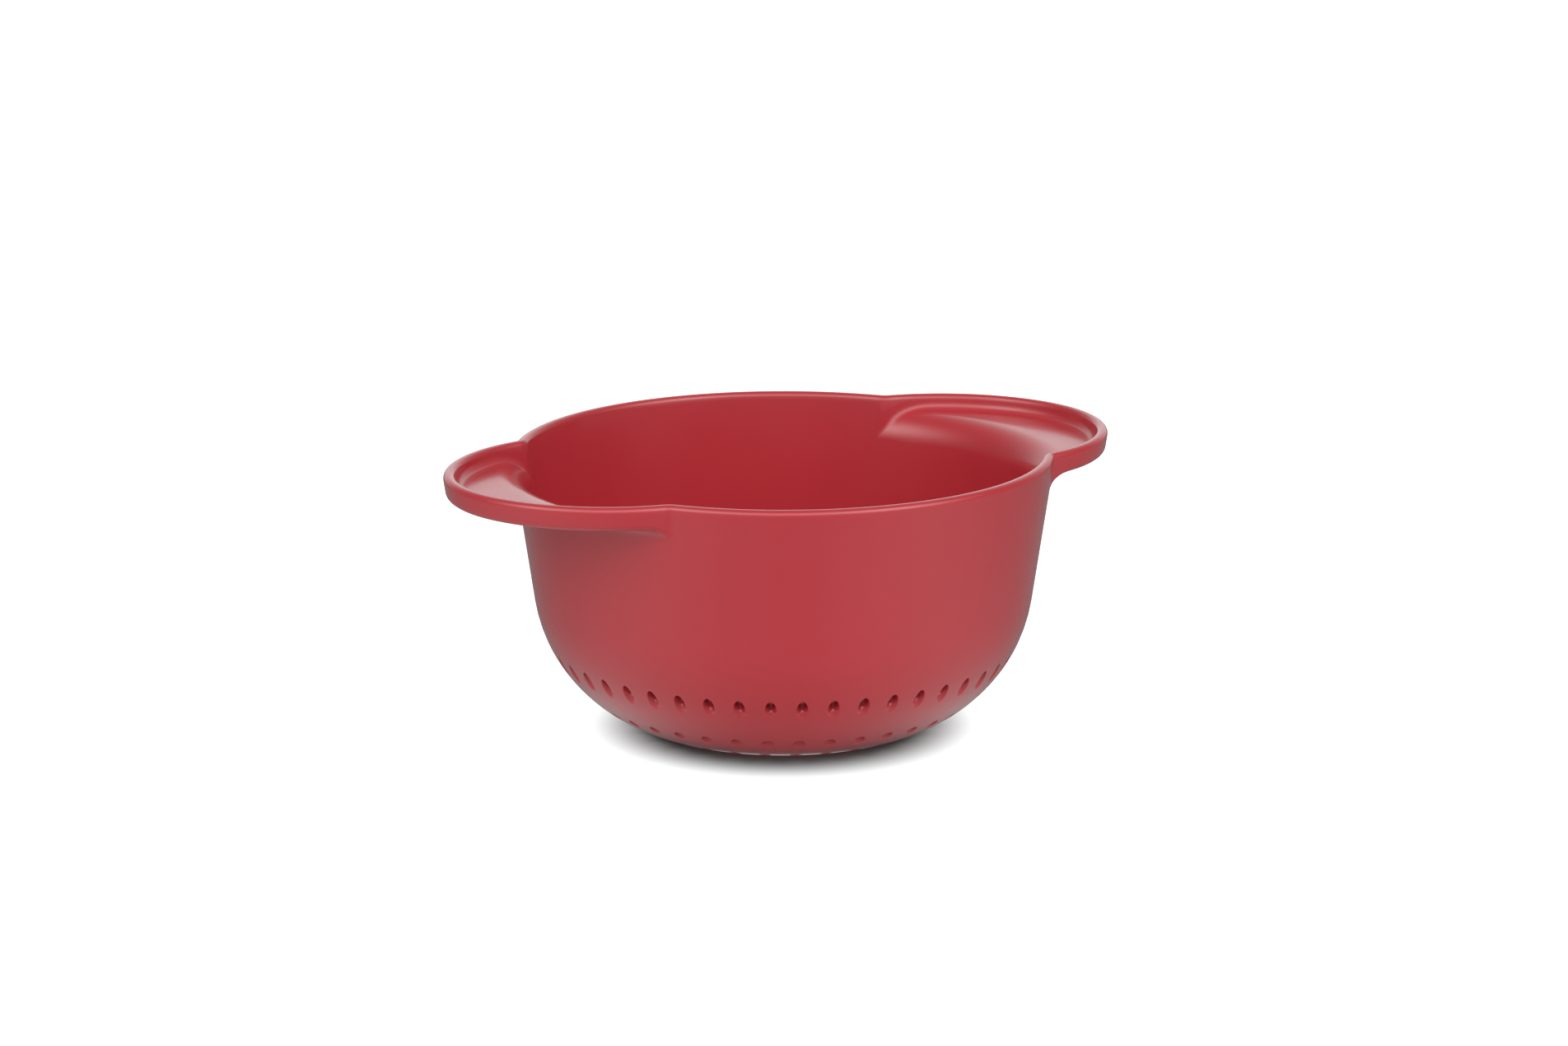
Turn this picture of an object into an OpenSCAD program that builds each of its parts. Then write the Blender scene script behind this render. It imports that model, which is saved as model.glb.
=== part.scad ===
// Colander: a one-piece moulded strainer bowl with two dished handles and rings of drain holes.
// Millimetres. The base rests on z = 0, the bowl stands on the Z axis and the handles lie along X.

/* [Bowl] */
// Outside diameter at the rim, between the handles
rim_d = 204; // [180:1:240]
// Height from the base to the top of the rim
height = 106; // [90:1:130]
// Thickness of the base and of the curved side
wall = 3; // [2:0.1:4]
// Thickness of the rounded rim
rim_t = 4.4; // [3.6:0.1:6]
// Lean of the straight side away from vertical, in degrees
side_lean = 8.2; // [6:0.1:11]
// Radius of the big curve between the side and the base
side_curve_r = 59; // [48:1:68]
// Radius of the small curve round the flat base
base_curve_r = 35; // [22:1:48]
// Slope at which the base curve hands over to the side curve, in degrees
curve_join = 20; // [14:1:26]

/* [Handles] */
// Overall length across both handles
overall_l = 270; // [250:1:290]
// Diameter of the outline of each handle
handle_d = 118; // [110:1:130]
// Depth of the edge band round each handle
handle_h = 8.8; // [7.5:0.1:12]
// Thickness of the floor of each handle's dish
dish_floor = 2.8; // [2:0.1:4]
// Radius of the shoulder from the dish down into the bowl
shoulder_r = 12; // [9:0.5:14]
// Radius of the fillet between a handle's underside and the bowl
underside_r = 8; // [5:0.5:11]
// Radius of the blend from a handle's side into the bowl, seen from above
root_r = 5.5; // [4:0.5:8]

/* [Drain holes] */
// Diameter of a drain hole
hole_d = 4.2; // [3:0.1:5.5]
// Number of rings round the centre hole
ring_count = 6; // [3:1:6]
// Holes that each ring has more than the ring inside it
ring_step = 8; // [5:1:8]
// Slope of the wall at the outermost ring, in degrees
top_ring_slope = 61; // [40:1:66]
// Turn of the rings from the handles' axis, in degrees
ring_turn = 19.6; // [0:0.1:45]

/* [Hidden] */
$fn = 180;

plastic = [0.71, 0.20, 0.23];

// Amount by which a blend crosses the face that it runs into, and a cut passes its solid
cross = 0.05;
pass = 1;

// Depth and turn by which the straight side starts inside the end of the side curve
foot_sink = 0.01;
foot_turn = 2;

function along(angle) = [cos(angle), sin(angle)];
function heading(p) = atan2(p.y, p.x);

// Rim: its crest is the highest line, halfway through its thickness
rim_half = rim_t / 2;
rim_r = rim_d / 2;
crest_r = rim_r - rim_half;
rim_z = height - rim_half;

// Outer face of the bowl: flat base, base curve, side curve, straight side
join_angle = curve_join - 90;
side_c_z = base_curve_r + (side_curve_r - base_curve_r) * cos(curve_join);
straight_z = side_c_z - side_curve_r * sin(side_lean);
straight_r = rim_r - (rim_z - straight_z) * tan(side_lean);
side_c = [straight_r - side_curve_r * cos(side_lean), side_c_z];
base_c = side_c + (side_curve_r - base_curve_r) * along(join_angle);
base_r = base_c.x;

// Inner face of the bowl: the same curves one wall in, then straight up to the rim
inner_top = [rim_r - rim_t, rim_z];
inner_curve_r = side_curve_r - wall;
inner_reach = inner_top - side_c;
inner_lean = acos(inner_curve_r / norm(inner_reach)) - heading(inner_reach);

function outer_r(z) = rim_r - (rim_z - z) * tan(side_lean);
function inner_r(z) = inner_top.x - (rim_z - z) * tan(inner_lean);

// Handle: a round tray with the same rim, whose middle lies under the bowl's opening
underside_z = height - handle_h;
dish_z = underside_z + dish_floor;
handle_r = handle_d / 2;
handle_x = overall_l / 2 - handle_r;
handle_crest_r = handle_r - rim_half;

// Directions in which the crest of the rim and the crest of a handle cross, seen from each centre
rim_cross = acos((crest_r * crest_r + handle_x * handle_x - handle_crest_r * handle_crest_r)
    / (2 * crest_r * handle_x));
crossing = crest_r * along(rim_cross);

// Root blend: the middle of a circle that touches the bowl and the handle at the rim
root_to_bowl = rim_r + root_r;
root_to_handle = handle_r + root_r;
root_turn = acos((root_to_bowl * root_to_bowl + handle_x * handle_x - root_to_handle * root_to_handle)
    / (2 * root_to_bowl * handle_x));
root_c = root_to_bowl * along(root_turn);

// Shoulder and underside fillet, as circles in the section through the bowl's axis
shoulder_z = dish_z - shoulder_r;
shoulder_x = inner_r(shoulder_z) + shoulder_r - cross;
underside_c_z = underside_z - underside_r + cross;
underside_c = [outer_r(underside_c_z) + underside_r / cos(side_lean) - cross, underside_c_z];

// Rings of drain holes: the outermost sits where the wall has the chosen slope
top_ring_r = side_c.x + side_curve_r * sin(top_ring_slope);
ring_pitch = top_ring_r / ring_count;
hole_top_z = straight_z;

// Slice of a disc between two directions
module pie(centre, radius, from, to) {
    reach = 2 * radius;
    intersection() {
        translate(centre) circle(radius);
        polygon([centre, centre + reach * along(from), centre + reach * along(to)]);
    }
}

// Half section of the space under the bowl's outer face, or inset from it by the wall
module bowl_area(inset, lean, top) {
    foot = side_c + (side_curve_r - inset - foot_sink) * along(-lean);
    polygon([
        [0, inset], [base_r, inset], base_c, side_c, foot, top, [0, top.y]
    ]);
    pie(base_c, base_curve_r - inset, -90, join_angle);
    pie(side_c, side_curve_r - inset, join_angle, foot_turn - lean);
}

// Rounded top of a rim whose crest has the given radius
module rim_round(radius) {
    intersection() {
        translate([radius, rim_z]) circle(rim_half);
        translate([radius - rim_t, rim_z]) square([2 * rim_t, rim_t]);
    }
}

// Half section of a handle's tray
module tray_area() {
    drop = rim_z - underside_z;
    dish_drop = rim_z - dish_z;
    polygon([
        [0, underside_z], [handle_r - drop * tan(side_lean), underside_z],
        [handle_r, rim_z], [handle_r - rim_t, rim_z],
        [handle_r - rim_t - dish_drop * tan(inner_lean), dish_z], [0, dish_z]
    ]);
    rim_round(handle_crest_r);
}

// Fillet under a handle, round the bowl's outer face
module underside_fillet() {
    intersection() {
        rotate_extrude()
            difference() {
                polygon([
                    [crest_r, underside_z + dish_floor / 2],
                    [underside_c.x, underside_z + dish_floor / 2],
                    underside_c,
                    [outer_r(underside_c.y) - wall / 2, underside_c.y]
                ]);
                translate(underside_c) circle(underside_r);
            }
        translate([handle_x, 0, 0]) cylinder(h = height, r = handle_crest_r);
    }
}

// Blends between the sides of a handle and the bowl
module root_blends() {
    blend_h = rim_z - underside_z;
    foot_r = root_r + blend_h * tan(side_lean);
    for (side = [0, 1])
        mirror([0, side, 0])
            translate([0, 0, underside_z])
                difference() {
                    linear_extrude(blend_h)
                        polygon([
                            root_c, crest_r * along(root_turn), crossing,
                            [handle_x, 0] + handle_crest_r * along(heading(root_c - [handle_x, 0]))
                        ]);
                    translate([root_c.x, root_c.y, 0])
                        cylinder(h = blend_h + pass, r1 = foot_r + cross,
                            r2 = root_r + cross - pass * tan(side_lean));
                }
}

// What a handle opens in the side of the bowl: the rim's gap, with its foot in the dish's floor
module rim_gap() {
    translate([handle_x, 0, underside_z + dish_floor / 2])
        cylinder(h = handle_h, r = handle_crest_r);
}

// What is cut away above the shoulder, inside a handle's edge band
module shoulder_cut() {
    cut_h = shoulder_r;
    top_r = handle_r - rim_t - (rim_z - dish_z) * tan(inner_lean);
    intersection() {
        rotate_extrude()
            difference() {
                translate([base_r, shoulder_z]) square([shoulder_x - base_r, cut_h]);
                translate([shoulder_x, shoulder_z]) circle(shoulder_r);
            }
        translate([handle_x, 0, shoulder_z])
            cylinder(h = cut_h, r1 = top_r - cut_h * tan(inner_lean), r2 = top_r);
    }
}

// Space above the base and inside the middle of the bowl's wall
module bowl_space() {
    mid = (outer_r(0) + inner_r(0)) / 2;
    cylinder(h = rim_z, r1 = mid, r2 = crest_r);
    translate([0, 0, rim_z]) cylinder(h = rim_t, r = crest_r);
}

// Tray, underside fillet and root blends of the handle on the +X side
module handle() {
    difference() {
        translate([handle_x, 0, 0]) rotate_extrude() tray_area();
        bowl_space();
    }
    difference() {
        underside_fillet();
        bowl_space();
    }
    root_blends();
}

// Vertical holes in rings, with one in the centre
module drain_holes() {
    translate([0, 0, -pass]) cylinder(h = hole_top_z, d = hole_d);
    for (ring = [1:ring_count]) {
        count = ring * ring_step;
        for (i = [0:count - 1])
            rotate([0, 0, ring_turn + i * 360 / count])
                translate([ring * ring_pitch, 0, -pass])
                    cylinder(h = hole_top_z, d = hole_d);
    }
}

// Bowl with its rounded rim, opened where the handles join it
module bowl() {
    difference() {
        rotate_extrude() {
            difference() {
                bowl_area(0, side_lean, [rim_r, rim_z]);
                bowl_area(wall, inner_lean, inner_top);
            }
            rim_round(crest_r);
        }
        for (turn = [0, 180])
            rotate([0, 0, turn]) rim_gap();
    }
}

module colander() {
    color(plastic)
        difference() {
            union() {
                bowl();
                for (turn = [0, 180])
                    rotate([0, 0, turn]) handle();
            }
            for (turn = [0, 180])
                rotate([0, 0, turn]) shoulder_cut();
            drain_holes();
        }
}

colander();
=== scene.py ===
# A one-piece moulded colander with two dished handles and rings of drain holes, on a plain pale stage.
# Lengths are in metres. The base rests on z = 0, and the handles lie along X.

import math

import bmesh
import bpy
from bpy.props import FloatProperty, FloatVectorProperty, IntProperty, PointerProperty
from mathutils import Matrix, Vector


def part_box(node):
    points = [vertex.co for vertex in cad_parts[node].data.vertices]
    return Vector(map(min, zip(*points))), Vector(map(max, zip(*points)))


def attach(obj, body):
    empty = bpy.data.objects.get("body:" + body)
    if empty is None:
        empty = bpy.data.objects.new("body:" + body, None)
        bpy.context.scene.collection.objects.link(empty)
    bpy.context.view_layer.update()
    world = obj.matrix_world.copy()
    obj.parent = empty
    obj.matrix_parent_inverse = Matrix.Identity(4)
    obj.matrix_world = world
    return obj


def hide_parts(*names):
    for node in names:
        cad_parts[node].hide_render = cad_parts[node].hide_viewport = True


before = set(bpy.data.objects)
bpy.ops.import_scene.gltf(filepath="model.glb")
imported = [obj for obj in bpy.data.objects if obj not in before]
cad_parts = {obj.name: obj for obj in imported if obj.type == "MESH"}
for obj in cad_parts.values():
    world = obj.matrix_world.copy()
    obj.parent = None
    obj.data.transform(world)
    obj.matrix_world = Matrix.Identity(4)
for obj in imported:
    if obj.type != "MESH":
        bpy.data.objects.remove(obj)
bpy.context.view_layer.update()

bl_info = {
    "name": "Moulded colander",
    "version": (1, 0, 0),
    "blender": (4, 5, 0),
    "location": "3D View > Sidebar > Colander",
    "description": "Builds a one-piece plastic colander with dished handles and drain holes, and its stage",
    "category": "Add Mesh",
}

MM = 0.001
NODE = "colander"


# Sizes and finishes


class ColanderShape(bpy.types.PropertyGroup):
    """Sizes of the moulding that its outside box doesn't give"""

    wall: FloatProperty(
        name="Wall", description="Thickness of the base and of the curved side",
        default=3.0 * MM, min=2.0 * MM, max=4.0 * MM, unit="LENGTH",
    )
    rim_thickness: FloatProperty(
        name="Rim thickness", description="Thickness of the rounded rim",
        default=4.4 * MM, min=3.6 * MM, max=6.0 * MM, unit="LENGTH",
    )
    rim_edge: FloatProperty(
        name="Rim edge", description="Radius along both edges of the rim's narrow flat top",
        default=2.0 * MM, min=0.4 * MM, max=2.2 * MM, unit="LENGTH",
    )
    side_lean: FloatProperty(
        name="Side lean", description="Lean of the straight side away from vertical",
        default=math.radians(8.2), subtype="ANGLE",
    )
    side_curve: FloatProperty(
        name="Side curve", description="Radius of the big curve between the side and the base",
        default=59.0 * MM, unit="LENGTH",
    )
    base_curve: FloatProperty(
        name="Base curve", description="Radius of the small curve round the flat base",
        default=35.0 * MM, unit="LENGTH",
    )
    curve_join: FloatProperty(
        name="Curve join", description="Slope at which the base curve hands over to the side curve",
        default=math.radians(20.0), subtype="ANGLE",
    )
    band_depth: FloatProperty(
        name="Band depth", description="Depth of the edge band round each handle",
        default=8.8 * MM, unit="LENGTH",
    )
    band_edge: FloatProperty(
        name="Band edge", description="Radius along the lower edge of the band",
        default=2.4 * MM, unit="LENGTH",
    )
    dish_floor: FloatProperty(
        name="Dish floor", description="Thickness of the floor of each handle's dish",
        default=2.8 * MM, unit="LENGTH",
    )
    dish_fillet: FloatProperty(
        name="Dish fillet", description="Radius between a dish's floor and its edge band",
        default=3.0 * MM, unit="LENGTH",
    )
    shoulder: FloatProperty(
        name="Shoulder", description="Radius from a dish's floor down into the bowl",
        default=12.0 * MM, unit="LENGTH",
    )
    underside_fillet: FloatProperty(
        name="Underside fillet", description="Radius between a handle's underside and the bowl",
        default=6.0 * MM, unit="LENGTH",
    )
    tip_curve: FloatProperty(
        name="Tip curve", description="Radius of a handle's rim round its tip",
        default=55.0 * MM, unit="LENGTH",
    )
    tip_end: FloatProperty(
        name="Tip end", description="Direction at which the tip's curve hands over to the flank's",
        default=math.radians(20.3), subtype="ANGLE",
    )
    flank_curve: FloatProperty(
        name="Flank curve", description="Radius of a handle's rim along its flanks",
        default=62.2 * MM, unit="LENGTH",
    )
    root_curve: FloatProperty(
        name="Root curve", description="Radius at which a handle's rim turns into the bowl's rim",
        default=5.6 * MM, unit="LENGTH",
    )
    hole_diameter: FloatProperty(
        name="Drain hole", description="Diameter of a drain hole",
        default=4.2 * MM, min=3.0 * MM, max=4.6 * MM, unit="LENGTH",
    )
    hole_edge: FloatProperty(
        name="Hole edge", description="Size of the small break along each drain hole's edges",
        default=0.15 * MM, unit="LENGTH",
    )
    ring_count: IntProperty(
        name="Rings", description="Number of rings of drain holes round the centre hole",
        default=6, min=4, max=6,
    )
    ring_step: IntProperty(
        name="Ring step", description="Holes that each ring has more than the ring inside it",
        default=8, min=6, max=8,
    )
    ring_slope: FloatProperty(
        name="Top ring slope", description="Slope of the wall at the outermost ring",
        default=math.radians(60.0), subtype="ANGLE",
    )
    ring_turn: FloatProperty(
        name="Ring turn", description="Turn of the rings from the handles' axis",
        default=math.radians(19.6), subtype="ANGLE",
    )


class ColanderPlastic(bpy.types.PropertyGroup):
    """Colour and gloss of the moulded plastic"""

    body: FloatVectorProperty(
        name="Body", description="Colour of the plastic",
        default=(0.46, 0.031, 0.041), size=3, min=0.0, max=1.0, subtype="COLOR",
    )
    flow: FloatVectorProperty(
        name="Flow", description="Colour of the faint streaks in which the plastic filled its mould",
        default=(0.43, 0.027, 0.036), size=3, min=0.0, max=1.0, subtype="COLOR",
    )
    skin: FloatProperty(
        name="Skin", description="Weight of the smooth skin that the mould leaves on the plastic",
        default=0.5, min=0.0, max=1.0, subtype="FACTOR",
    )
    skin_haze: FloatProperty(
        name="Skin haze", description="Roughness of the mould's smooth skin",
        default=0.12, min=0.0, max=1.0, subtype="FACTOR",
    )
    gloss: FloatProperty(
        name="Polish", description="Roughness where the mould was best polished",
        default=0.21, min=0.0, max=1.0, subtype="FACTOR",
    )
    haze: FloatProperty(
        name="Haze", description="Roughness where the surface has been handled",
        default=0.26, min=0.0, max=1.0, subtype="FACTOR",
    )
    ripple: FloatProperty(
        name="Ripple", description="Height of the faint waviness of the moulded surface",
        default=0.02 * MM, unit="LENGTH",
    )


class ColanderStage(bpy.types.PropertyGroup):
    """Floor, lights and camera"""

    floor: FloatVectorProperty(
        name="Floor", description="Colour of the floor as it lights the colander",
        default=(0.8, 0.8, 0.8), size=3, min=0.0, max=1.0, subtype="COLOR",
    )
    # Painted shade: the camera sees the floor in this darker, slightly cyan colour, which deepens the
    # contact shadow, while the light that bounces onto the colander comes off the paler floor colour
    shade: FloatVectorProperty(
        name="Shade", description="Colour of the floor in the contact shadow",
        default=(0.33, 0.4, 0.4), size=3, min=0.0, max=1.0, subtype="COLOR",
    )
    # Painted shadow: between these distances the camera sees the floor fade from its darker lit colour to
    # plain white, about a middle set towards the camera, so the contact shadow's size and place are painted
    shadow_start: FloatProperty(
        name="Shadow start", description="Distance within which the floor keeps its full contact shadow",
        default=48.0 * MM, unit="LENGTH",
    )
    shadow_end: FloatProperty(
        name="Shadow end", description="Distance beyond which the floor looks plain white",
        default=80.0 * MM, unit="LENGTH",
    )
    shadow_shift: FloatProperty(
        name="Shadow shift", description="How far the shadow's middle lies towards the camera",
        default=8.0 * MM, unit="LENGTH",
    )
    # Painted reflection: the floor gives off this brightness only in the plastic's reflections, as a plain
    # sheen, two pools of light to the sides and a bright patch under the bowl that stands in for light
    # through the drain holes
    sheen: FloatProperty(
        name="Floor sheen", description="Brightness of the open floor in reflections",
        default=0.12, min=0.0, max=2.0,
    )
    pools: FloatProperty(
        name="Light pools", description="Extra brightness in reflections under the two side lights",
        default=0.4, min=0.0, max=2.0,
    )
    painted_drain_light: FloatProperty(
        name="Drain light", description="Brightness in reflections below the drain holes",
        default=1.1, min=0.0, max=2.0,
    )
    even: FloatProperty(
        name="Even light", description="Brightness of the room all round",
        default=0.12, min=0.0, max=2.0,
    )
    front: FloatProperty(
        name="Front light", description="Brightness of the soft light above the camera",
        default=1.8, min=0.0, max=5.0,
    )
    left: FloatProperty(
        name="Left light", description="Brightness of the soft light on the camera's left",
        default=2.9, min=0.0, max=5.0,
    )
    right: FloatProperty(
        name="Right light", description="Brightness of the soft light on the camera's right",
        default=3.5, min=0.0, max=5.0,
    )
    behind: FloatProperty(
        name="Light behind", description="Brightness of the broad low light behind the colander",
        default=0.9, min=0.0, max=5.0,
    )
    lens: FloatProperty(
        name="Lens", description="Focal length of the camera",
        default=94.5, subtype="DISTANCE_CAMERA",
    )
    camera_place: FloatVectorProperty(
        name="Camera place", description="Where the camera stands",
        default=(-0.7531, -1.3076, 0.4519), size=3, subtype="TRANSLATION",
    )
    camera_dip: FloatProperty(
        name="Camera dip", description="How far the camera looks down",
        default=math.radians(13.97), subtype="ANGLE",
    )
    camera_turn: FloatProperty(
        name="Camera turn", description="Direction that the camera faces, clockwise from +Y",
        default=math.radians(29.95), subtype="ANGLE",
    )


# Shape of the moulding


def along(angle):
    """Unit vector in plan."""
    return Vector((math.cos(angle), math.sin(angle)))


def heading(point):
    return math.atan2(point.y, point.x)


def lift(point, z):
    """A plan point at a height."""
    return Vector((point.x, point.y, z))


def eased(value):
    """From 0 to 1 with a smooth start and end."""
    t = min(max(value, 0.0), 1.0)
    return t * t * (3.0 - 2.0 * t)


class Form:
    """Centres, leans and heights worked out from the sizes and from the solid's box."""

    def __init__(self, shape):
        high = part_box(NODE)[1]
        self.shape = shape
        self.rim_half = shape.rim_thickness / 2
        self.rim_z = high[2] - self.rim_half
        self.crest_r = high[1] - self.rim_half
        self.tip_x = high[0] - self.rim_half
        self.lean = shape.side_lean
        step = shape.side_curve - shape.base_curve
        self.side_z = shape.base_curve + step * math.cos(shape.curve_join)
        self.side_x = self.outer_r(self.side_z) - shape.side_curve / math.cos(self.lean)
        self.flat_r = self.side_x + step * math.sin(shape.curve_join)
        reach = Vector((self.crest_r - self.side_x, self.rim_z - self.side_z))
        inner_curve = shape.side_curve - shape.wall + self.rim_half
        self.inner_lean = math.acos(inner_curve / reach.length) - heading(reach)
        self.under_z = high[2] - shape.band_depth
        self.fillet_z = self.under_z - shape.underside_fillet
        self.fillet_r = self.outer_r(self.fillet_z) + shape.underside_fillet / math.cos(self.lean)
        self.dish_z = self.under_z + shape.dish_floor
        self.shoulder_z = self.dish_z - shape.shoulder
        self.shoulder_r = self.inner_r(self.shoulder_z) + shape.shoulder / math.cos(self.inner_lean)
        self.hole_r = shape.hole_diameter / 2
        top_ring = self.side_x + shape.side_curve * math.sin(shape.ring_slope)
        self.pitch = top_ring / shape.ring_count

    def outer_face(self, z):
        """How far the outer face lies outside the crest of the rim."""
        return self.rim_half / math.cos(self.lean) - (self.rim_z - z) * math.tan(self.lean)

    def inner_face(self, z):
        """How far the inner face lies outside the crest of the rim, which is less than nothing."""
        return -self.rim_half / math.cos(self.inner_lean) - (self.rim_z - z) * math.tan(self.inner_lean)

    def rim_point(self, crest, normal, outside, share):
        """Point on one of the rim's two edges: its face at share 0, and its flat top at 1."""
        edge = self.shape.rim_edge
        z = self.rim_z + self.rim_half - edge
        if outside:
            side, lean, middle = 1, self.lean, self.outer_face(z) - edge / math.cos(self.lean)
        else:
            side, lean, middle = -1, self.inner_lean, self.inner_face(z) + edge / math.cos(self.inner_lean)
        start = -side * lean
        angle = start + (math.pi / 2 - start) * share
        return lift(crest + normal * (middle + side * edge * math.cos(angle)), z + edge * math.sin(angle))

    def outer_r(self, z):
        return self.crest_r + self.outer_face(z)

    def inner_r(self, z):
        return self.crest_r + self.inner_face(z)

    def height(self, r, inset):
        """Height of the bowl's outer face at a radius, or of its inner face at the wall's inset."""
        small = self.shape.base_curve - inset
        big = self.shape.side_curve - inset
        if r <= self.flat_r:
            return inset
        if r <= self.flat_r + small * math.sin(self.shape.curve_join):
            return self.shape.base_curve - math.sqrt(small ** 2 - (r - self.flat_r) ** 2)
        return self.side_z - math.sqrt(big ** 2 - (r - self.side_x) ** 2)

    def side_point(self, slope, inset):
        """Radius and height on the side curve where the wall has a slope."""
        big = self.shape.side_curve - inset
        return self.side_x + big * math.sin(slope), self.side_z - big * math.cos(slope)


# Rim: stations along its crest, each with the direction that faces away from the opening

TIP_STEPS = 12
FLANK_STEPS = 23
ROOT_STEPS = 14


def half_handle(form):
    """Stations from the tip of the +X handle along its +Y side to where it meets the bowl's rim."""
    shape = form.shape
    tip = Vector((form.tip_x - shape.tip_curve, 0.0))
    flank = tip + (shape.tip_curve - shape.flank_curve) * along(shape.tip_end)
    to_bowl = form.crest_r + shape.root_curve
    to_flank = shape.flank_curve + shape.root_curve
    forward = (to_bowl ** 2 - to_flank ** 2 + flank.length_squared) / (2 * flank.length)
    aside = math.sqrt(to_bowl ** 2 - forward ** 2)
    root = forward * flank.normalized() + aside * along(heading(flank) + math.pi / 2)
    flank_end = heading(root - flank)
    curves = (
        (tip, shape.tip_curve, 0.0, shape.tip_end, TIP_STEPS),
        (flank, shape.flank_curve, shape.tip_end, flank_end, FLANK_STEPS),
        (root, -shape.root_curve, flank_end, heading(root), ROOT_STEPS),
    )
    stations = []
    for centre, radius, start, end, steps in curves:
        for i in range(steps):
            normal = along(start + (end - start) * i / steps)
            stations.append((centre + radius * normal, normal))
    return stations, heading(root)


def rim_stations(form, columns):
    """Crest point and outward direction for each column, anticlockwise from the tip of the +X handle."""
    handle, root_turn = half_handle(form)
    half = columns // 2
    bowl_steps = half - 2 * len(handle)
    stations = list(handle)
    for i in range(bowl_steps + 1):
        normal = along(root_turn + (math.pi - 2 * root_turn) * i / bowl_steps)
        stations.append((form.crest_r * normal, normal))
    for point, normal in reversed(handle[1:]):
        stations.append((Vector((-point.x, point.y)), Vector((-normal.x, normal.y))))
    return stations + [(-point, -normal) for point, normal in stations]


# Lips: the lines down both faces of the rim at one station, past the handle where there is one

LINE = 1
CURVE = 14
OUTER_ROWS = (3, 5, 4, 7, 2)
INNER_ROWS = (2, 6, 5, 9, 2)
RIM_ROWS = 5
LEAST_GAP = 0.1 * MM
FOLLOW = 3.0 * MM
OUTER_ANCHOR = 84.0 * MM
INNER_ANCHOR = 78.0 * MM


def line(start, end):
    return [start, end]


def spread(parts, rows, follow):
    """Places rows along a chain of parts: evenly at follow 0, and with each part's own rows at 1."""
    path = [parts[0][0]]
    run = [0.0]
    marks = [0.0]
    for part in parts:
        for point in part:
            run.append(run[-1] + (point - path[-1]).length)
            path.append(point)
        marks.append(run[-1])
    total = sum(rows)
    wanted = []
    for part, count in enumerate(rows):
        for i in range(count):
            own = marks[part] + (marks[part + 1] - marks[part]) * i / count
            even = run[-1] * len(wanted) / total
            wanted.append(even + (own - even) * follow)
    wanted.append(run[-1])
    stretch = run[-1] / (run[-1] + LEAST_GAP * total)
    placed = []
    k = 0
    for i, place in enumerate(wanted):
        place = (place + LEAST_GAP * i) * stretch
        while k < len(run) - 2 and run[k + 1] < place:
            k += 1
        span = run[k + 1] - run[k]
        share = (place - run[k]) / span if span > 0.0 else 0.0
        placed.append(path[k].lerp(path[k + 1], min(share, 1.0)))
    return placed


def fan(centre, radius, start, end):
    """Arc about a centre from one direction to another."""
    return [centre + radius * start.lerp(end, i / CURVE).normalized() for i in range(CURVE + 1)]


def two_rounds(crest, normal, face, lean, ball, wall_round):
    """Arc of a ball that rolls down a face of the rim, and of the round on the wall that stops it.

    The wall's round has a radius, a distance from the bowl's axis and a height, which are all fixed.
    """
    radius, round_r, round_z = wall_round
    reach = ball + radius
    foot = crest + normal * (face(round_z) - ball / math.cos(lean))
    gap = round_r - foot.length
    drift = math.tan(lean) * normal.dot(foot.normalized())
    rise = reach
    if gap > drift * reach:
        room = max(reach ** 2 * (1 + drift ** 2) - gap ** 2, 0.0)
        rise = (drift * gap + math.sqrt(room)) / (1 + drift ** 2)
    middle = crest + normal * (face(round_z + rise) - ball / math.cos(lean))
    outward = middle.normalized()
    to_face = lift(normal * math.cos(lean), -math.sin(lean))
    to_round = lift(outward * max(round_r - middle.length, 0.0), -rise).normalized()
    to_wall = lift(-outward * math.cos(lean), math.sin(lean))
    rolled = fan(lift(middle, round_z + rise), ball, to_face, to_round)
    return rolled, fan(lift(outward * round_r, round_z), radius, -to_round, to_wall), outward


def lip(top, rolled, stopped, foot, rows):
    """Rows down one face of a station, from the rim to the wall."""
    parts = (
        line(top, rolled[0]), rolled, line(rolled[-1], stopped[0]), stopped, line(stopped[-1], foot),
    )
    return spread(parts, rows, eased((stopped[-1] - stopped[0]).length / FOLLOW))


def outer_lip(form, crest, normal):
    """Rows up the outside of a station, from the wall to the rim, and the heading of its wall."""
    shape = form.shape
    wall_round = shape.underside_fillet, form.fillet_r, form.fillet_z
    edge, fillet, outward = two_rounds(
        crest, normal, form.outer_face, form.lean, shape.band_edge, wall_round,
    )
    top = form.rim_point(crest, normal, True, 0.0)
    rows = lip(top, edge, fillet, lift(outward * form.outer_r(OUTER_ANCHOR), OUTER_ANCHOR), OUTER_ROWS)
    return rows[::-1], heading(outward)


def inner_lip(form, crest, normal):
    """Rows down the inside of a station, from the rim to the wall, and the heading of its wall."""
    shape = form.shape
    wall_round = shape.shoulder, form.shoulder_r, form.shoulder_z
    fillet, shoulder, outward = two_rounds(
        crest, normal, form.inner_face, form.inner_lean, shape.dish_fillet, wall_round,
    )
    top = form.rim_point(crest, normal, False, 0.0)
    rows = lip(top, fillet, shoulder, lift(outward * form.inner_r(INNER_ANCHOR), INNER_ANCHOR), INNER_ROWS)
    return rows, heading(outward)


# Rows: every line of the mesh that runs round the bowl, from the base's outside to its inside

PATCH_ROWS = 3
PATCH_STEP = 1.05 * MM
GAP_ROWS = 4
COLLAR = 0.5 * MM


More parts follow.
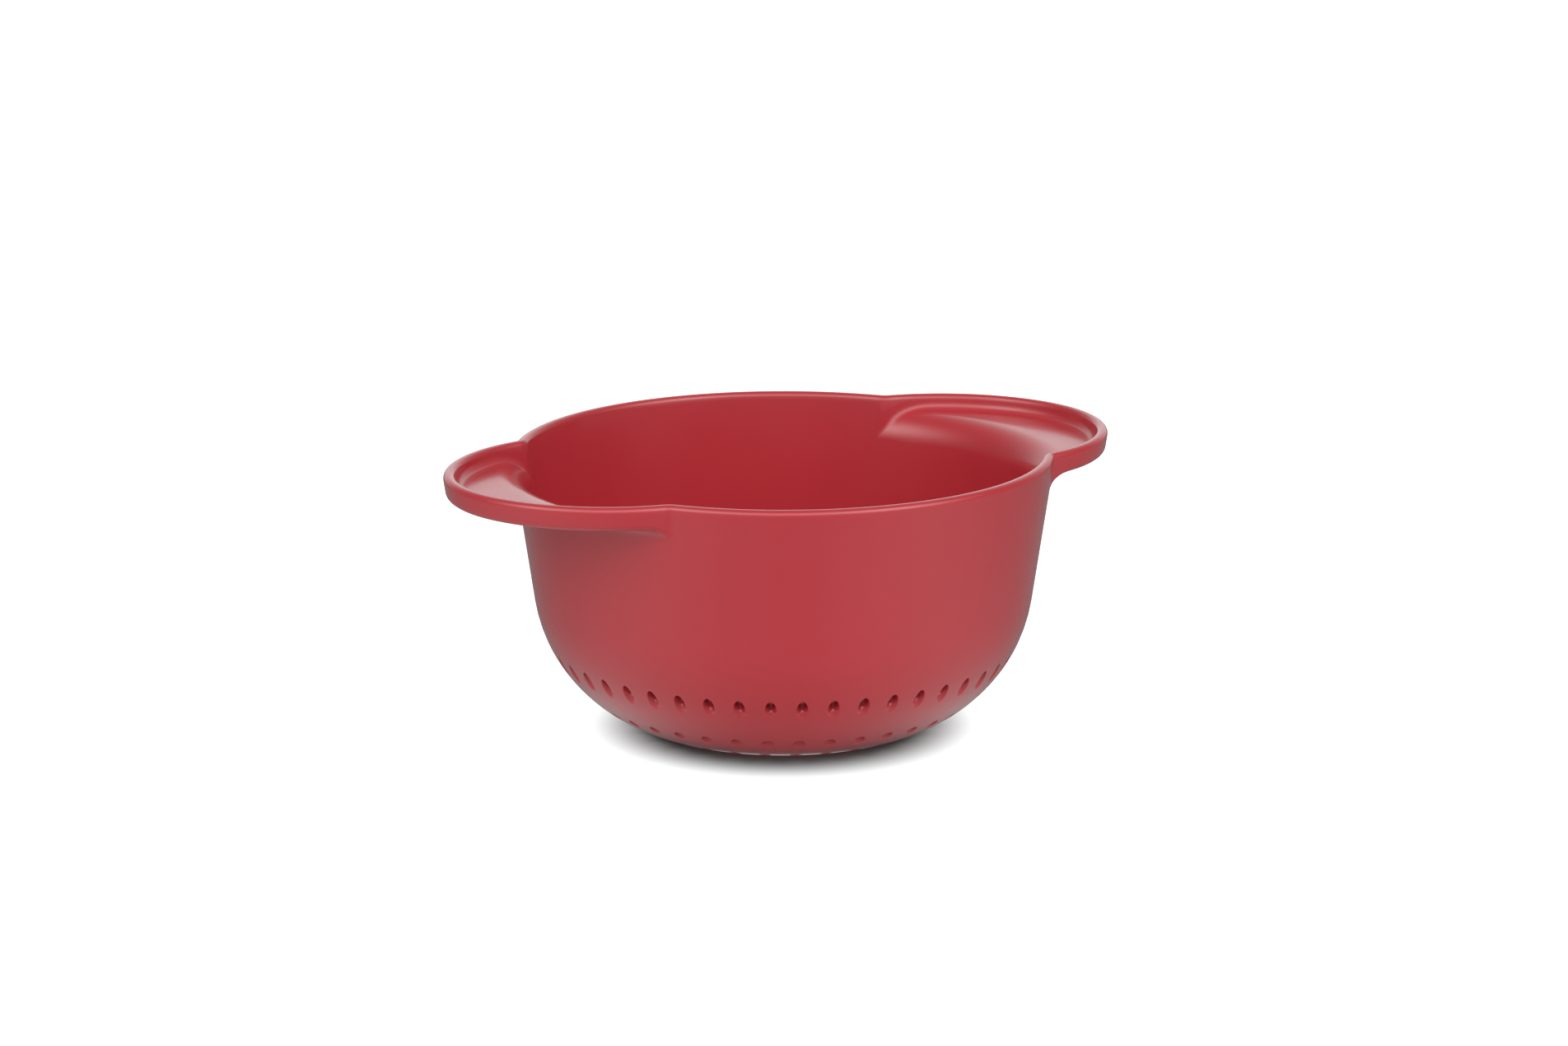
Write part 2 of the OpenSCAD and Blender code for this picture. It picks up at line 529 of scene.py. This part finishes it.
def hole_rows(form):
    """Radii of the rows from the centre hole to past the outermost ring, with each ring's rows marked."""
    rows = [(form.hole_r, None), (form.hole_r + form.shape.hole_edge, None), (form.hole_r + COLLAR, None)]
    for ring in range(1, form.shape.ring_count + 1):
        start = rows[-1][0]
        end = ring * form.pitch - PATCH_ROWS * PATCH_STEP
        rows += [(start + (end - start) * i / GAP_ROWS, None) for i in range(1, GAP_ROWS)]
        for step in range(-PATCH_ROWS, PATCH_ROWS + 1):
            rows.append((ring * form.pitch + step * PATCH_STEP, (ring, step)))
    return rows


def wall_rows(form, inset, lean, anchor):
    """Radii and heights from past the outermost ring up to the lip."""
    start_r = form.shape.ring_count * form.pitch + PATCH_ROWS * PATCH_STEP
    start = math.asin((start_r - form.side_x) / (form.shape.side_curve - inset))
    end = math.pi / 2 - lean
    rows = [form.side_point(start + (end - start) * i / 3, inset) for i in (1, 2, 3)]
    straight_z = rows[-1][1]
    face = form.inner_r if inset else form.outer_r
    for i in (1, 2, 3):
        z = straight_z + (anchor - straight_z) * i / 4
        rows.append((face(z), z))
    return rows


class Lathe:
    """Where each crossing of a row and a column lies."""

    def __init__(self, form):
        self.form = form
        self.columns = 60 * form.shape.ring_step
        self.step = 2 * math.pi / self.columns
        self.first = round(form.shape.ring_turn / self.step)
        stations = rim_stations(form, self.columns)
        self.outer = [outer_lip(form, *station) for station in stations]
        self.inner = [inner_lip(form, *station) for station in stations]
        self.stations = stations
        holes = hole_rows(form)
        self.rows = [("under", r, mark) for r, mark in holes]
        self.rows += [("outside", place, None) for place in wall_rows(form, 0.0, form.lean, OUTER_ANCHOR)]
        self.rows += [("outer lip", k, None) for k in range(sum(OUTER_ROWS) + 1)]
        self.rows += [("rim", (True, k / RIM_ROWS), None) for k in range(1, RIM_ROWS + 1)]
        self.rows += [("rim", (False, k / RIM_ROWS), None) for k in range(RIM_ROWS, 0, -1)]
        self.rows += [("inner lip", k, None) for k in range(sum(INNER_ROWS) + 1)]
        inner_wall = wall_rows(form, form.shape.wall, form.inner_lean, INNER_ANCHOR)
        self.rows += [("inside", place, None) for place in reversed(inner_wall)]
        self.rows += [("floor", r, mark) for r, mark in reversed(holes)]
        self.rows.append(self.rows[0])

    def turn(self, column):
        """Direction of a column where it crosses the drain holes."""
        return self.form.shape.ring_turn + column * self.step

    def eased_turn(self, column, wall, z, anchor):
        """Direction of a column on the plain wall, between the drain holes and the lip."""
        start = self.turn(column)
        end = wall[(column + self.first) % self.columns][1]
        swing = math.remainder(end - start, 2 * math.pi)
        low = self.form.side_z - self.form.shape.side_curve * math.cos(self.form.shape.ring_slope)
        return start + swing * eased((z - low) / (anchor - low))

    def place(self, row, column):
        kind, value, _ = self.rows[row]
        form = self.form
        station = (column + self.first) % self.columns
        if kind == "under":
            edge = form.shape.hole_edge if value == form.hole_r else 0.0
            return lift(along(self.turn(column)) * value, form.height(value, 0.0) + edge)
        if kind == "floor":
            edge = form.shape.hole_edge if value == form.hole_r else 0.0
            return lift(along(self.turn(column)) * value, form.height(value, form.shape.wall) - edge)
        if kind == "outside":
            r, z = value
            return lift(along(self.eased_turn(column, self.outer, z, OUTER_ANCHOR)) * r, z)
        if kind == "inside":
            r, z = value
            return lift(along(self.eased_turn(column, self.inner, z, INNER_ANCHOR)) * r, z)
        if kind == "outer lip":
            return self.outer[station][0][value]
        if kind == "inner lip":
            return self.inner[station][0][value]
        return form.rim_point(*self.stations[station], *value)


# Mesh: a flat disc of rows and columns, opened at each drain hole, and then put in its place

FIRST_ROW = 20


def disc(bm, lathe):
    """A flat disc with one ring of faces between each two rows, and fewer columns towards the centre."""
    coarse = lathe.columns // 8
    chain = [bm.verts.new((FIRST_ROW + row, 0.0, 0.0)) for row in range(len(lathe.rows))]
    edges = [bm.edges.new(pair) for pair in zip(chain, chain[1:])]
    bmesh.ops.spin(
        bm, geom=chain + edges, axis=(0, 0, 1), cent=(0, 0, 0),
        angle=2 * math.pi, steps=coarse, use_merge=True, use_duplicate=False,
    )
    for rings_inside in (0.5, 1.5, 3.5):
        radius = rings_inside * lathe.form.pitch
        first = next(i for i, row in enumerate(lathe.rows) if row[1] >= radius)
        last = len(lathe.rows) - 2 - first
        cut = []
        for edge in bm.edges:
            rows = [row_of(vert) for vert in edge.verts]
            if rows[0] == rows[1] and first <= rows[0] <= last:
                cut.append(edge)
        bmesh.ops.subdivide_edges(bm, edges=cut, cuts=1, use_grid_fill=True)
        for vert in bm.verts:
            vert.co = vert.co.normalized() * (FIRST_ROW + row_of(vert))


def row_of(vert):
    return round(vert.co.length) - FIRST_ROW


def column_of(vert, lathe):
    return round(math.atan2(vert.co.y, vert.co.x) / lathe.step) % lathe.columns


def patch_of(lathe, row, column):
    """The drain hole whose patch holds a crossing: its ring, its column, and the steps from its middle."""
    mark = lathe.rows[row][2]
    if mark is None:
        return None
    ring, up = mark
    spacing = lathe.columns // (ring * lathe.form.shape.ring_step)
    middle = round(column / spacing) * spacing
    coarse = 4 if ring == 1 else 2 if ring <= 3 else 1
    width = ring * lathe.form.pitch * lathe.step * coarse
    half = round(PATCH_ROWS * PATCH_STEP / width)
    side = (column - middle) / coarse
    if abs(side) > half:
        return None
    return ring, middle, side, up, half


def open_patches(bm, lathe):
    """Takes the faces out of each drain hole's patch, and gives back the edges round the openings."""
    inside = []
    for face in bm.faces:
        patches = set()
        for vert in face.verts:
            found = patch_of(lathe, row_of(vert), column_of(vert, lathe))
            patches.add(found and (found[0], found[1] % lathe.columns))
        if len(patches) == 1 and None not in patches:
            inside.append(face)
    bmesh.ops.delete(bm, geom=inside, context="FACES")
    last = len(lathe.rows) - 1
    return [e for e in bm.edges if e.is_boundary and row_of(e.verts[0]) not in (0, last)]


def edge_turn(side, up, half):
    """Share of a turn round a patch's edge, from the middle of its leading side."""
    total = 4 * (half + PATCH_ROWS)
    if side == half:
        steps = up
    elif up == PATCH_ROWS:
        steps = PATCH_ROWS + half - side
    elif side == -half:
        steps = 2 * half + 2 * PATCH_ROWS - up
    else:
        steps = 3 * PATCH_ROWS + 3 * half + side
    return 2 * math.pi * steps / total


# The rings of corners round a drain hole, from its patch inwards and on through the wall
COLLAR_LINE, EDGE_LINE, NEAR, FAR = 1, 2, 3, 4


def hole_place(lathe, row, column, ring_line):
    """Where a corner of a drain hole's ring lies: collar, edge, wall of the hole, or its far wall."""
    form = lathe.form
    ring, middle, side, up, half = patch_of(lathe, row, column)
    inset = 0.0 if lathe.rows[row][0] == "under" else form.shape.wall
    if ring_line == FAR:
        inset = form.shape.wall - inset
    reach = {COLLAR_LINE: COLLAR, EDGE_LINE: form.shape.hole_edge}.get(ring_line, 0.0)
    outward = along(lathe.turn(middle))
    sideways = Vector((-outward.y, outward.x))
    angle = edge_turn(side, up, half)
    around = sideways * math.cos(angle) + outward * math.sin(angle)
    point = outward * ring * form.pitch + around * (form.hole_r + reach)
    z = form.height(point.length, inset)
    if ring_line >= NEAR:
        z += form.shape.hole_edge * (-1 if inset else 1)
    return lift(point, z)


def line_holes(bm, lathe, edges):
    """Draws the edges of each opening in to a round hole, and on through the wall from the outside."""
    layer = bm.verts.layers.int.new("ring line")
    for ring_line in (COLLAR_LINE, EDGE_LINE, NEAR, FAR):
        if ring_line == FAR:
            edges = [e for e in edges if lathe.rows[row_of(e.verts[0])][0] == "under"]
        new = bmesh.ops.extrude_edge_only(bm, edges=edges)["geom"]
        verts = {item for item in new if isinstance(item, bmesh.types.BMVert)}
        for vert in verts:
            vert[layer] = ring_line
        edges = [e for e in new if isinstance(e, bmesh.types.BMEdge) and verts.issuperset(e.verts)]
    return layer


def build_moulding(shape):
    """The colander's mesh, closed and with its faces outwards."""
    lathe = Lathe(Form(shape))
    bm = bmesh.new()
    disc(bm, lathe)
    layer = line_holes(bm, lathe, open_patches(bm, lathe))
    for vert in bm.verts:
        row, column = row_of(vert), column_of(vert, lathe)
        if vert[layer]:
            vert.co = hole_place(lathe, row, column, vert[layer])
        else:
            vert.co = lathe.place(row, column)
    bmesh.ops.remove_doubles(bm, verts=bm.verts, dist=0.001 * MM)
    bmesh.ops.recalc_face_normals(bm, faces=bm.faces)
    loose = [edge for edge in bm.edges if not edge.is_manifold]
    if loose:
        raise RuntimeError(f"the moulding has {len(loose)} open edges")
    mesh = bpy.data.meshes.new("colander_moulding")
    bm.verts.layers.int.remove(layer)
    bm.to_mesh(mesh)
    bm.free()
    mesh.shade_smooth()
    return mesh


# Materials


def new_material(name):
    """An empty node material, its links and its surface shader."""
    material = bpy.data.materials.new(name)
    material.use_nodes = True
    nodes = material.node_tree.nodes
    return material, nodes, material.node_tree.links, nodes["Principled BSDF"]


def noise(nodes, links, coordinates, scale, detail, stretch=(1.0, 1.0, 1.0)):
    """A noise pattern over the object's own coordinates."""
    mapping = nodes.new("ShaderNodeMapping")
    mapping.inputs["Scale"].default_value = stretch
    links.new(coordinates, mapping.inputs["Vector"])
    texture = nodes.new("ShaderNodeTexNoise")
    texture.inputs["Scale"].default_value = scale
    texture.inputs["Detail"].default_value = detail
    links.new(mapping.outputs["Vector"], texture.inputs["Vector"])
    return texture.outputs["Fac"]


PLASTIC_IOR = 1.49
# Scale and detail of the patterns in the plastic, and how far the streaks are drawn out upwards
STREAKS = (26.0, 3.0, (1.0, 1.0, 0.25))
POLISH = (45.0, 4.0)
WAVES = (160.0, 2.0)


def ramp(nodes, links, value, start, end, low=0.0, high=1.0):
    """Runs from low to high while a value runs from start to end."""
    node = nodes.new("ShaderNodeMapRange")
    for socket, number in zip(("From Min", "From Max", "To Min", "To Max"), (start, end, low, high)):
        node.inputs[socket].default_value = number
    links.new(value, node.inputs["Value"])
    return node


def blend(nodes, links, factor, first, second):
    """One shader where a factor is 0, and another where it is 1."""
    node = nodes.new("ShaderNodeMixShader")
    for socket, value in zip(node.inputs, (factor, first, second)):
        links.new(value, socket)
    return node.outputs["Shader"]


def red_plastic(plastic):
    """Glossy moulded plastic: faint flow streaks, uneven polish and a slight waviness."""
    material, nodes, links, shader = new_material("red_plastic")
    coordinates = nodes.new("ShaderNodeTexCoord").outputs["Object"]

    tint = nodes.new("ShaderNodeMix")
    tint.data_type = "RGBA"
    tint.inputs["A"].default_value = (*plastic.body, 1.0)
    tint.inputs["B"].default_value = (*plastic.flow, 1.0)
    links.new(noise(nodes, links, coordinates, *STREAKS), tint.inputs["Factor"])
    links.new(tint.outputs["Result"], shader.inputs["Base Color"])

    wear = noise(nodes, links, coordinates, *POLISH)
    polish = ramp(nodes, links, wear, 0.35, 0.7, plastic.gloss, plastic.haze)
    links.new(polish.outputs["Result"], shader.inputs["Roughness"])
    shader.inputs["IOR"].default_value = PLASTIC_IOR
    shader.inputs["Coat Weight"].default_value = plastic.skin
    shader.inputs["Coat Roughness"].default_value = plastic.skin_haze

    ripple = nodes.new("ShaderNodeBump")
    ripple.inputs["Strength"].default_value = 0.35
    ripple.inputs["Distance"].default_value = plastic.ripple
    links.new(noise(nodes, links, coordinates, *WAVES), ripple.inputs["Height"])
    links.new(ripple.outputs["Normal"], shader.inputs["Normal"])
    return material


# Stage


def calculate(nodes, links, operation, first, second):
    """A sum on one or two values, each a number or another node's output."""
    node = nodes.new("ShaderNodeMath")
    node.operation = operation
    for socket, value in zip(node.inputs, (first, second)):
        if isinstance(value, bpy.types.NodeSocket):
            links.new(value, socket)
        else:
            socket.default_value = value
    return node.outputs["Value"]


def soft_glow(nodes, links, direction, turn, rise, narrowness):
    """A soft round glow about a direction, which is 1 at its middle."""
    towards = nodes.new("ShaderNodeVectorMath")
    towards.operation = "DOT_PRODUCT"
    towards.inputs[1].default_value = lift(along(turn) * math.cos(rise), math.sin(rise))
    links.new(direction, towards.inputs[0])
    away = calculate(nodes, links, "SUBTRACT", towards.outputs["Value"], 1.0)
    scaled = calculate(nodes, links, "MULTIPLY", away, narrowness)
    return calculate(nodes, links, "EXPONENT", scaled, 0.0)


FLOOR_HALF = 6.0
# How far the side lights stand from the camera's direction, and how high the lights stand
SIDE_TURN = math.radians(53.0)
HIGH = math.radians(38.0)
LOW = math.radians(8.0)
# How tightly the brightness of a light gathers about its middle
NARROW = 12.0
BROAD = 5.0
# Painted reflection under the drain holes: the floor's brightness in reflections fades to this over this
# distance
PAINTED_DRAIN_LIGHT_END = 0.1
PAINTED_DRAIN_LIGHT_EDGE = 8.0 * MM


def to_camera(stage):
    """Direction in plan from the colander to the camera."""
    return -math.pi / 2 - stage.camera_turn


def from_shadow(nodes, links, stage, place):
    """Distance of a place on the floor from the middle of the painted contact shadow, which lies towards the
    camera.
    """
    distance = nodes.new("ShaderNodeVectorMath")
    distance.operation = "DISTANCE"
    distance.inputs[1].default_value = lift(stage.shadow_shift * along(to_camera(stage)), 0.0)
    links.new(place, distance.inputs[0])
    return distance.outputs["Value"]


def painted_floor_reflection(nodes, links, stage, place, distance, outside_painted_shadow):
    """Painted reflection of the floor, seen only by glossy rays: a painted sheen, two painted pools of
    light, a painted dark shadow and a painted bright patch below the drain holes.
    """
    heading_to = nodes.new("ShaderNodeVectorMath")
    heading_to.operation = "NORMALIZE"
    links.new(place, heading_to.inputs[0])
    # Painted reflection: a plain sheen and two pools of light to the sides
    bright = stage.sheen
    for turn in (-SIDE_TURN, SIDE_TURN):
        pool = soft_glow(nodes, links, heading_to.outputs["Vector"], to_camera(stage) + turn, 0.0, BROAD)
        pool = calculate(nodes, links, "MULTIPLY", pool, stage.pools)
        bright = calculate(nodes, links, "ADD", pool, bright)
    # Painted shadow in the reflections: the reflected floor goes dark within the contact shadow
    bright = calculate(nodes, links, "MULTIPLY", outside_painted_shadow, bright)
    # Painted bright patch under the bowl, standing in for light through the drain holes
    start = stage.shadow_start - PAINTED_DRAIN_LIGHT_EDGE
    drain = ramp(nodes, links, distance, start, stage.shadow_start, stage.painted_drain_light, PAINTED_DRAIN_LIGHT_END)
    drain.interpolation_type = "SMOOTHSTEP"
    bright = calculate(nodes, links, "ADD", drain.outputs["Result"], bright)
    glow = nodes.new("ShaderNodeEmission")
    links.new(bright, glow.inputs["Strength"])
    return glow.outputs["Emission"]


def floor_material(stage):
    """Matt pale floor that looks plain white away from the colander's contact shadow, whose depth, size and
    place the camera sees partly painted.
    """
    material, nodes, links, shader = new_material("stage_floor")
    shader.inputs["Roughness"].default_value = 1.0
    shader.inputs["Specular IOR Level"].default_value = 0.0
    geometry = nodes.new("ShaderNodeNewGeometry")
    place = geometry.outputs["Position"]
    distance = from_shadow(nodes, links, stage, place)
    # Painted shadow: 0 within the contact shadow, rising to 1 where the floor looks plain white
    edge = ramp(nodes, links, distance, stage.shadow_start, stage.shadow_end)
    edge.interpolation_type = "SMOOTHSTEP"
    outside_painted_shadow = edge.outputs["Result"]

    # Painted shade: camera rays see the darker shade colour, every other ray the paler floor colour
    seen = nodes.new("ShaderNodeLightPath")
    colour = nodes.new("ShaderNodeMix")
    colour.data_type = "RGBA"
    colour.inputs["A"].default_value = (*stage.floor, 1.0)
    colour.inputs["B"].default_value = (*stage.shade, 1.0)
    links.new(seen.outputs["Is Camera Ray"], colour.inputs["Factor"])
    links.new(colour.outputs["Result"], shader.inputs["Base Color"])
    # Painted shadow: plain white emission for the camera, faded out within the contact shadow
    white = calculate(nodes, links, "MULTIPLY", outside_painted_shadow, seen.outputs["Is Camera Ray"])
    shader.inputs["Emission Color"].default_value = (1.0, 1.0, 1.0, 1.0)
    links.new(white, shader.inputs["Emission Strength"])

    glow = painted_floor_reflection(nodes, links, stage, place, distance, outside_painted_shadow)
    # Painted reflection: glossy rays see the painted floor brightness instead of the lit floor
    top = blend(nodes, links, seen.outputs["Is Glossy Ray"], shader.outputs["BSDF"], glow)
    # The floor can't be seen from below, so that the colander's underside can
    through = nodes.new("ShaderNodeBsdfTransparent").outputs["BSDF"]
    surface = blend(nodes, links, geometry.outputs["Backfacing"], top, through)
    links.new(surface, nodes["Material Output"].inputs["Surface"])
    return material


def build_floor(stage):
    """A plane that reaches past the view on every side."""
    bm = bmesh.new()
    bmesh.ops.create_grid(bm, x_segments=1, y_segments=1, size=FLOOR_HALF)
    mesh = bpy.data.meshes.new("stage_floor")
    bm.to_mesh(mesh)
    bm.free()
    mesh.materials.append(floor_material(stage))
    floor = bpy.data.objects.new("stage_floor", mesh)
    bpy.context.scene.collection.objects.link(floor)


def build_lights(stage):
    """A dim room with four broad soft lights, which the camera itself sees as plain white."""
    world = bpy.data.worlds.new("pale_room")
    world.use_nodes = True
    nodes, links = world.node_tree.nodes, world.node_tree.links
    direction = nodes.new("ShaderNodeTexCoord").outputs["Generated"]
    total = stage.even
    for strength, turn, rise, narrowness in (
        (stage.front, 0.0, HIGH, NARROW),
        (stage.left, -SIDE_TURN, HIGH, NARROW),
        (stage.right, SIDE_TURN, HIGH, NARROW),
        (stage.behind, math.pi, LOW, BROAD),
    ):
        glow = soft_glow(nodes, links, direction, to_camera(stage) + turn, rise, narrowness)
        glow = calculate(nodes, links, "MULTIPLY", glow, strength)
        total = calculate(nodes, links, "ADD", glow, total)
    background = nodes["Background"]
    background.inputs["Color"].default_value = (1.0, 1.0, 1.0, 1.0)
    seen = nodes.new("ShaderNodeLightPath")
    strength = nodes.new("ShaderNodeMix")
    strength.inputs["B"].default_value = 1.0
    links.new(seen.outputs["Is Camera Ray"], strength.inputs["Factor"])
    links.new(total, strength.inputs["A"])
    links.new(strength.outputs["Result"], background.inputs["Strength"])
    bpy.context.scene.world = world


def build_camera(stage):
    """The camera, which looks a little down at the colander."""
    lens = bpy.data.cameras.new("view")
    lens.lens = stage.lens
    lens.sensor_width = 36.0
    lens.clip_start = 0.05
    lens.clip_end = 50.0
    camera = bpy.data.objects.new("view", lens)
    camera.location = stage.camera_place
    camera.rotation_euler = (math.pi / 2 - stage.camera_dip, 0.0, -stage.camera_turn)
    bpy.context.scene.collection.objects.link(camera)
    bpy.context.scene.camera = camera


# Operators


class COLANDER_OT_moulding(bpy.types.Operator):
    """Build the colander's one moulded piece"""

    bl_idname = "colander.moulding"
    bl_label = "Moulding"

    def execute(self, context):
        mesh = build_moulding(context.scene.colander_shape)
        mesh.materials.append(red_plastic(context.scene.colander_plastic))
        piece = bpy.data.objects.new("colander_moulding", mesh)
        context.scene.collection.objects.link(piece)
        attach(piece, "root")
        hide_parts(NODE)
        return {"FINISHED"}


class COLANDER_OT_stage(bpy.types.Operator):
    """Lay the floor and set the lights and the camera"""

    bl_idname = "colander.stage"
    bl_label = "Stage"

    def execute(self, context):
        stage = context.scene.colander_stage
        context.scene.view_settings.view_transform = "Standard"
        build_floor(stage)
        build_lights(stage)
        build_camera(stage)
        return {"FINISHED"}


class COLANDER_PT_panel(bpy.types.Panel):
    """Lists the steps that build the colander"""

    bl_idname = "COLANDER_PT_panel"
    bl_label = "Colander"
    bl_space_type = "VIEW_3D"
    bl_region_type = "UI"
    bl_category = "Colander"

    def draw(self, context):
        for name in ("colander_shape", "colander_plastic", "colander_stage"):
            group = getattr(context.scene, name)
            column = self.layout.column(align=True)
            for key in group.__annotations__:
                column.prop(group, key)
        self.layout.operator(COLANDER_OT_moulding.bl_idname)
        self.layout.operator(COLANDER_OT_stage.bl_idname)


CLASSES = (
    ColanderShape,
    ColanderPlastic,
    ColanderStage,
    COLANDER_OT_moulding,
    COLANDER_OT_stage,
    COLANDER_PT_panel,
)


def register():
    for item in CLASSES:
        bpy.utils.register_class(item)
    bpy.types.Scene.colander_shape = PointerProperty(type=ColanderShape)
    bpy.types.Scene.colander_plastic = PointerProperty(type=ColanderPlastic)
    bpy.types.Scene.colander_stage = PointerProperty(type=ColanderStage)


def unregister():
    del bpy.types.Scene.colander_stage
    del bpy.types.Scene.colander_plastic
    del bpy.types.Scene.colander_shape
    for item in reversed(CLASSES):
        bpy.utils.unregister_class(item)


def main():
    register()
    bpy.ops.colander.moulding()
    bpy.ops.colander.stage()


if __name__ == "__main__":
    main()
